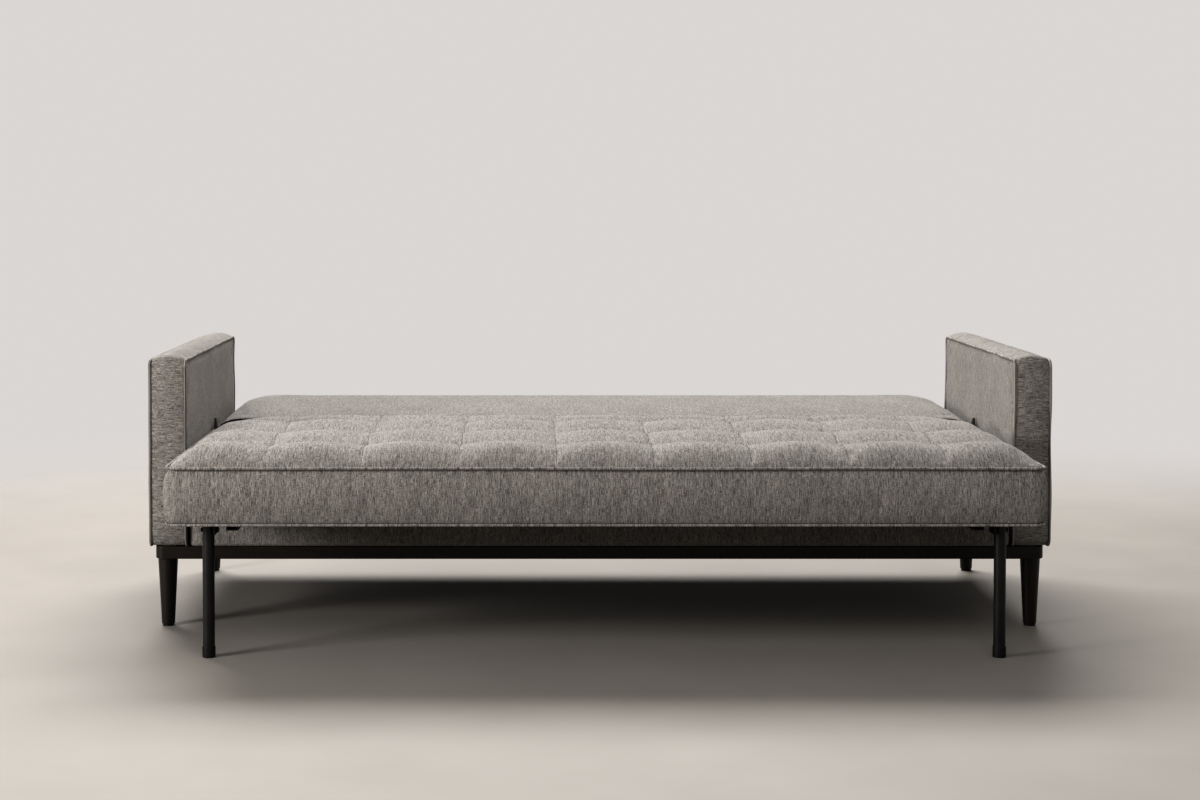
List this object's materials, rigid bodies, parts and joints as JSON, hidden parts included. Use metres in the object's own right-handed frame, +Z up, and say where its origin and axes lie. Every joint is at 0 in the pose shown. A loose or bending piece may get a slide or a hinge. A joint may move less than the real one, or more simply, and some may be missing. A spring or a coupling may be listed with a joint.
{
  "type": "futon sofa bed",
  "caption": "Flat futon sofa bed with tufted seat, folding back, padded arms, plinth base, tapered legs and folding tube supports.",
  "frame": {"origin": "on the floor under the middle of the whole bed as it lies flat", "axes": "+X along the length of the bed to the right-hand arm, +Y from the seat front to the far edge of the back, +Z up"},
  "size_m": [2.08, 1.227, 0.623],
  "materials": {
    "upholstery": "matte",
    "lining": "matte",
    "stained_wood": "satin",
    "frame_wood": "matte",
    "black_steel": "satin",
    "bolts": "satin",
    "plastic": "matte",
    "buffer_rubber": "matte"
  },
  "bodies": {
    "base": {"arm_bolts": "bolts", "arm_core_left": "frame_wood", "arm_core_right": "frame_wood", "arm_pad_left": "upholstery", "arm_pad_right": "upholstery", "channel_screws": "bolts", "dust_cover": "lining", "front_board": "frame_wood", "front_fascia": "upholstery", "guide_channel_left": "black_steel", "guide_channel_right": "black_steel", "leg_front_left": "stained_wood", "leg_front_right": "stained_wood", "leg_glides": "plastic", "leg_hanger_bolts": "bolts", "leg_rear_left": "stained_wood", "leg_rear_right": "stained_wood", "plinth_front_rail": "stained_wood", "plinth_middle_rail": "stained_wood", "plinth_rear_rail": "stained_wood", "plinth_side_rail_left": "stained_wood", "plinth_side_rail_right": "stained_wood", "rear_board": "frame_wood", "rear_buffers": "buffer_rubber", "rear_fascia": "upholstery", "runner_board_left": "frame_wood", "runner_board_right": "frame_wood", "side_board_left": "frame_wood", "side_board_right": "frame_wood"},
    "seat": {"carriage_hangers": "black_steel", "glide_bolts": "bolts", "leg_bracket_left": "black_steel", "leg_bracket_right": "black_steel", "leg_pivot_bolts": "black_steel", "seat_cushion": "upholstery", "seat_edge_strips": "upholstery", "seat_front_rail": "black_steel", "seat_glides": "plastic", "seat_hinge_plate_left": "black_steel", "seat_hinge_plate_right": "black_steel", "seat_hinge_rail": "black_steel", "seat_middle_rail": "black_steel", "seat_side_rail_left": "black_steel", "seat_side_rail_right": "black_steel", "seat_slats": "frame_wood"},
    "backrest": {"back_cushion": "upholstery", "back_hinge_plate_left": "black_steel", "back_hinge_plate_right": "black_steel", "back_lining": "lining", "back_lower_rail": "black_steel", "back_side_rail_left": "black_steel", "back_side_rail_right": "black_steel", "back_slats": "frame_wood", "back_upper_rail": "black_steel", "hinge_pins": "black_steel"},
    "support_leg_left": {"support_foot_cap_left": "plastic", "support_tube_left": "black_steel"},
    "support_leg_right": {"support_foot_cap_right": "plastic", "support_tube_right": "black_steel"}
  },
  "joints": [
    {"name": "seat_slide", "type": "slide", "parent": "base", "child": "seat", "axis": [0, 1, 0], "range_m": [0, 0.25]},
    {"name": "back_recline", "type": "hinge", "parent": "seat", "child": "backrest", "pos_m": [0, 0.1535, 0.375], "axis": [1, 0, 0], "range_deg": [0, 80]},
    {"name": "leg_fold_left", "type": "hinge", "parent": "seat", "child": "support_leg_left", "pos_m": [-0.86, -0.5425, 0.278], "axis": [1, 0, 0], "range_deg": [0, 90]},
    {"name": "leg_fold_right", "type": "hinge", "parent": "seat", "child": "support_leg_right", "pos_m": [0.86, -0.5425, 0.278], "axis": [1, 0, 0], "range_deg": [0, 90]}
  ]
}
